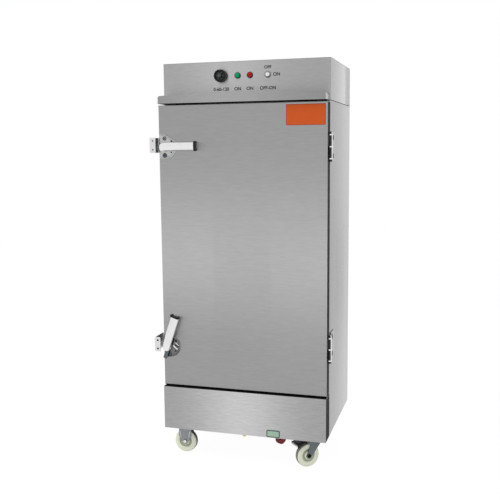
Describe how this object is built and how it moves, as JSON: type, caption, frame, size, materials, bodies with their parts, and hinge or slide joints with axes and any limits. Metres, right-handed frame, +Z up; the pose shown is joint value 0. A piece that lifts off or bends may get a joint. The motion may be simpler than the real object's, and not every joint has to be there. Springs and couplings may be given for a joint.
{
  "type": "rice steamer cabinet",
  "caption": "Upright insulated steaming cabinet on castors: latched door, tray racks over a heated water tank, control box on top",
  "frame": {"origin": "on the ground under the middle of the object's outline in X and Y", "axes": "+Z up, +X to the right of a user facing the door, +Y from the door to the back"},
  "size_m": [0.752, 0.604, 1.6645],
  "materials": {
    "stainless_sheet": "horizontally brushed stainless sheet",
    "stainless_liner": "plain stainless sheet",
    "bright_casting": "plated casting, soft polish",
    "zinc_plate": "dull zinc plate on pressed steel",
    "brass": "dull brass",
    "heater_sheath": "heat-tinted steel tube",
    "insulation_foam": "rigid foam",
    "gasket_silicone": "silicone rubber",
    "black_plastic": "black moulded plastic",
    "green_lens": "green indicator lens",
    "red_lens": "red indicator lens",
    "handwheel_red": "dark red paint",
    "nylon": "cream nylon",
    "float_plastic": "float ball"
  },
  "bodies": {
    "cabinet": {"outer_casing": "stainless_sheet", "front_frame": "stainless_sheet", "inner_liner": "stainless_liner", "wall_insulation": "insulation_foam", "tray_rack_left": "stainless_liner", "tray_rack_right": "stainless_liner", "steam_vent": "bright_casting", "control_housing": "stainless_sheet", "top_cover": "stainless_sheet", "visor": "stainless_sheet", "timer_body": "black_plastic", "lamp_green": "green_lens", "lamp_red": "red_lens", "switch_body": "bright_casting", "contactor": "black_plastic", "cable_gland": "black_plastic", "front_skirt": "stainless_sheet", "base_frame": "zinc_plate", "water_tank": "stainless_liner", "heating_element": "heater_sheath", "float_valve": "brass", "overflow_pipe": "brass", "drain_valve": "brass", "upper_hinge_body_leaf": "bright_casting", "lower_hinge_body_leaf": "bright_casting", "upper_keeper": "bright_casting", "lower_keeper": "bright_casting", "castor_front_left_fork": "zinc_plate", "castor_front_left_axle": "zinc_plate", "castor_rear_left_fork": "zinc_plate", "castor_rear_left_axle": "zinc_plate", "castor_front_right_plate": "zinc_plate", "castor_rear_right_plate": "zinc_plate"},
    "door": {"door_skin": "stainless_sheet", "door_inner_panel": "stainless_liner", "door_insulation": "insulation_foam", "door_gasket": "gasket_silicone", "upper_hinge_door_leaf": "bright_casting", "lower_hinge_door_leaf": "bright_casting", "upper_latch_base": "bright_casting", "lower_latch_base": "bright_casting"},
    "upper_latch": {"upper_latch_lever": "bright_casting", "upper_latch_cap": "black_plastic"},
    "lower_latch": {"lower_latch_lever": "bright_casting", "lower_latch_cap": "black_plastic"},
    "timer_dial": {"timer_knob": "black_plastic"},
    "switch_key": {"switch_rotor": "bright_casting"},
    "drain_wheel": {"drain_handwheel": "handwheel_red"},
    "float": {"float_arm": "float_plastic"},
    "front_left_wheel": {"castor_front_left_wheel": "nylon"},
    "rear_left_wheel": {"castor_rear_left_wheel": "nylon"},
    "front_right_swivel": {"castor_front_right_fork": "zinc_plate", "castor_front_right_axle": "zinc_plate"},
    "rear_right_swivel": {"castor_rear_right_fork": "zinc_plate", "castor_rear_right_axle": "zinc_plate"},
    "front_right_wheel": {"castor_front_right_wheel": "nylon"},
    "rear_right_wheel": {"castor_rear_right_wheel": "nylon"},
    "front_right_pedal": {"castor_front_right_pedal": "black_plastic"},
    "rear_right_pedal": {"castor_rear_right_pedal": "black_plastic"}
  },
  "joints": [
    {"name": "door_swing", "type": "hinge", "parent": "cabinet", "child": "door", "pos_m": [0.36715, -0.25405, 0.91725], "axis": [0, 0, 1], "range_deg": [0, 180]},
    {"name": "upper_latch_turn", "type": "hinge", "parent": "door", "child": "upper_latch", "pos_m": [-0.31805, -0.27675, 1.32], "axis": [0, -1, 0], "range_deg": [0, 71]},
    {"name": "lower_latch_turn", "type": "hinge", "parent": "door", "child": "lower_latch", "pos_m": [-0.31805, -0.27675, 0.4855], "axis": [0, -1, 0], "range_deg": [-71, 0]},
    {"name": "timer_turn", "type": "hinge", "parent": "cabinet", "child": "timer_dial", "pos_m": [-0.09055, -0.20705, 1.6075], "axis": [0, 1, 0], "range_deg": [0, 300]},
    {"name": "switch_turn", "type": "hinge", "parent": "cabinet", "child": "switch_key", "pos_m": [0.10495, -0.20705, 1.6075], "axis": [0, 1, 0], "range_deg": [0, 90]},
    {"name": "drain_valve_turn", "type": "hinge", "parent": "cabinet", "child": "drain_wheel", "pos_m": [0.16045, -0.24505, 0.1175], "axis": [0, -1, 0], "range_deg": [0, 720]},
    {"name": "float_lift", "type": "hinge", "parent": "cabinet", "child": "float", "pos_m": [0.16795, 0.20445, 0.285], "axis": [1, 0, 0], "range_deg": [-6, 12]},
    {"name": "front_left_wheel_spin", "type": "hinge", "parent": "cabinet", "child": "front_left_wheel", "pos_m": [-0.27705, -0.19605, 0.05], "axis": [0, 1, 0], "continuous": true},
    {"name": "front_right_swivel_turn", "type": "hinge", "parent": "cabinet", "child": "front_right_swivel", "pos_m": [0.29295, -0.19605, 0.1115], "axis": [0, 0, 1], "continuous": true},
    {"name": "front_right_wheel_spin", "type": "hinge", "parent": "front_right_swivel", "child": "front_right_wheel", "pos_m": [0.26767, -0.21726, 0.05], "axis": [-0.6428, 0.766, 0], "continuous": true},
    {"name": "front_right_brake_press", "type": "hinge", "parent": "front_right_swivel", "child": "front_right_pedal", "pos_m": [0.26614, -0.21855, 0.1115], "axis": [0.6428, -0.766, 0], "range_deg": [0, 10]},
    {"name": "rear_left_wheel_spin", "type": "hinge", "parent": "cabinet", "child": "rear_left_wheel", "pos_m": [-0.27705, 0.21295, 0.05], "axis": [0, 1, 0], "continuous": true},
    {"name": "rear_right_swivel_turn", "type": "hinge", "parent": "cabinet", "child": "rear_right_swivel", "pos_m": [0.29295, 0.21295, 0.1115], "axis": [0, 0, 1], "continuous": true},
    {"name": "rear_right_wheel_spin", "type": "hinge", "parent": "rear_right_swivel", "child": "rear_right_wheel", "pos_m": [0.26107, 0.20441, 0.05], "axis": [-0.2588, 0.9659, 0], "continuous": true},
    {"name": "rear_right_brake_press", "type": "hinge", "parent": "rear_right_swivel", "child": "rear_right_pedal", "pos_m": [0.25914, 0.20389, 0.1115], "axis": [0.2588, -0.9659, 0], "range_deg": [0, 10]}
  ]
}
